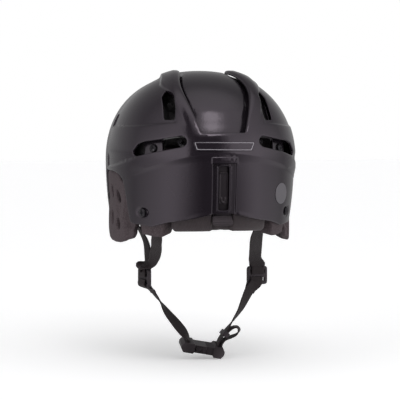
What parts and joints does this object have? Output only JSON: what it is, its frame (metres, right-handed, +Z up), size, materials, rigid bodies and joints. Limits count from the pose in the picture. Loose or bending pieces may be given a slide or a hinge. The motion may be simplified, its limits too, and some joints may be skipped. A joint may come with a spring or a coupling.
{
  "type": "multi-sport helmet",
  "caption": "Hard-shell sport helmet in a front and a rear half that slide on each other for size, with vents, foam liner, ear guards, nape adjuster and a buckled chin strap.",
  "frame": {"origin": "centre of the head cavity, level with the shell's widest part", "axes": "+Y to the wearer's front, +X to the wearer's right, +Z up to the crown"},
  "size_m": [0.208, 0.2846, 0.3218],
  "materials": {
    "shell": "satin",
    "trim": "satin",
    "liner_foam": "matte",
    "guard_foam": "matte",
    "pad_foam": "matte",
    "webbing": "matte",
    "fastener": "gloss",
    "label": "matte"
  },
  "bodies": {
    "front_half": {"front_shell": "shell", "front_liner": "liner_foam", "crown_pad": "pad_foam", "brow_pad": "pad_foam", "left_temple_pad": "pad_foam", "right_temple_pad": "pad_foam", "left_ear_guard": "guard_foam", "right_ear_guard": "guard_foam", "face_guard_inserts": "fastener", "visor_inserts": "fastener", "size_screws": "fastener", "size_nuts": "fastener", "front_strap_screws": "fastener", "front_strap_anchors": "fastener", "left_front_strap": "webbing", "right_front_strap": "webbing", "left_yoke": "trim", "right_yoke": "trim"},
    "rear_half": {"rear_shell": "shell", "rear_liner": "liner_foam", "rear_strap_screws": "fastener", "rear_strap_anchors": "fastener", "badge_plate": "label", "round_sticker": "label", "left_rear_strap": "webbing", "right_rear_strap": "webbing"},
    "nape_unit": {"nape_slider": "trim", "nape_pad": "pad_foam"},
    "chin_loop": {"left_lower_strap": "webbing", "right_lower_strap": "webbing", "buckle_socket": "trim"},
    "buckle_male": {"buckle_plug": "trim", "strap_keeper": "trim", "strap_tail_loop": "webbing"},
    "front_arm": {"front_prong": "trim"},
    "rear_arm": {"rear_prong": "trim"}
  },
  "joints": [
    {"name": "size_slide", "type": "slide", "parent": "front_half", "child": "rear_half", "axis": [0, -1, 0], "range_m": [-0.008, 0.008], "deforming": ["left_rear_strap", "right_rear_strap"]},
    {"name": "nape_slide", "type": "slide", "parent": "rear_half", "child": "nape_unit", "axis": [0, 0, 1], "range_m": [-0.006, 0.006]},
    {"name": "chin_swing", "type": "hinge", "parent": "front_half", "child": "chin_loop", "pos_m": [0, -0.019, -0.1405], "axis": [1, 0, 0], "range_deg": [-30, 75], "deforming": ["left_lower_strap", "right_lower_strap"]},
    {"name": "buckle_release", "type": "slide", "parent": "chin_loop", "child": "buckle_male", "axis": [0.9816, 0, -0.1908], "range_m": [0, 0.022], "deforming": ["right_lower_strap", "front_prong", "rear_prong"]},
    {"name": "front_arm_squeeze", "type": "hinge", "parent": "buckle_male", "child": "front_arm", "pos_m": [0.00789, -0.01362, -0.21075], "axis": [0.1866, -0.2079, 0.9602], "range_deg": [0, 10], "stiffness_Nm_per_rad": 0.1},
    {"name": "rear_arm_squeeze", "type": "hinge", "parent": "buckle_male", "child": "rear_arm", "pos_m": [0.00745, -0.02438, -0.213], "axis": [-0.1866, 0.2079, -0.9602], "range_deg": [0, 10], "stiffness_Nm_per_rad": 0.1}
  ],
  "couplings": [
    {"joint": "rear_arm_squeeze", "follows": "front_arm_squeeze", "ratio": 1}
  ]
}
